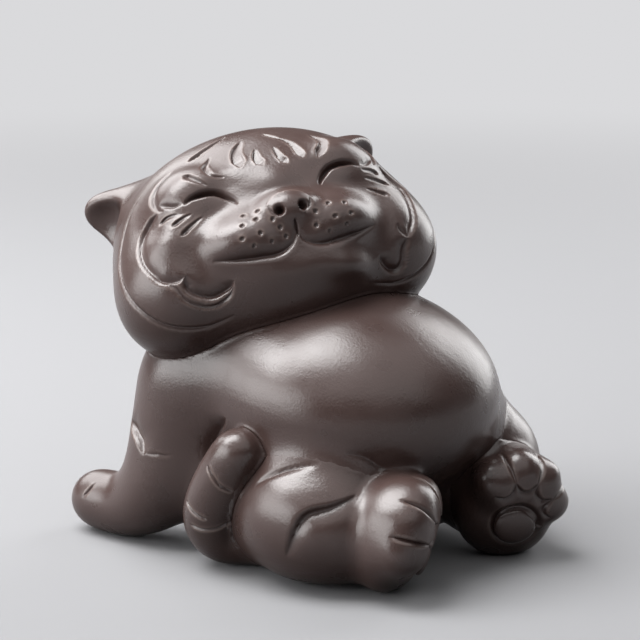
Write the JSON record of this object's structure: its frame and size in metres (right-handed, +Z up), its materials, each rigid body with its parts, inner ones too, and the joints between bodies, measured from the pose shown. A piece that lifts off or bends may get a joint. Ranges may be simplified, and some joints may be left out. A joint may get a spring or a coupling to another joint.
{
  "type": "tiger tea pet",
  "caption": "Smiling tiger tea pet in unglazed purple-brown stoneware: a hollow figurine leaning back on its forelegs with its soles forward, set on a tea tray for ornament.",
  "frame": {"origin": "on the flat underside of the base slab, on the torso's plane of symmetry, in front of the vent", "axes": "+Z up, -Y towards the belly and the hind feet, +X to the tiger's left"},
  "size_m": [0.0658, 0.086, 0.0755],
  "materials": {
    "clay": "unglazed, burnished to a satin sheen"
  },
  "bodies": {
    "root": {"face_shell": "clay", "head_back_shell": "clay", "right_ear": "clay", "left_ear": "clay", "belly_shell": "clay", "back_shell": "clay", "base_slab": "clay", "right_foreleg": "clay", "left_foreleg": "clay", "right_hind_leg": "clay", "left_hind_leg": "clay", "right_hind_foot": "clay", "left_hind_foot": "clay", "right_sole_pad": "clay", "left_sole_pad": "clay", "tail": "clay"}
  },
  "joints": []
}
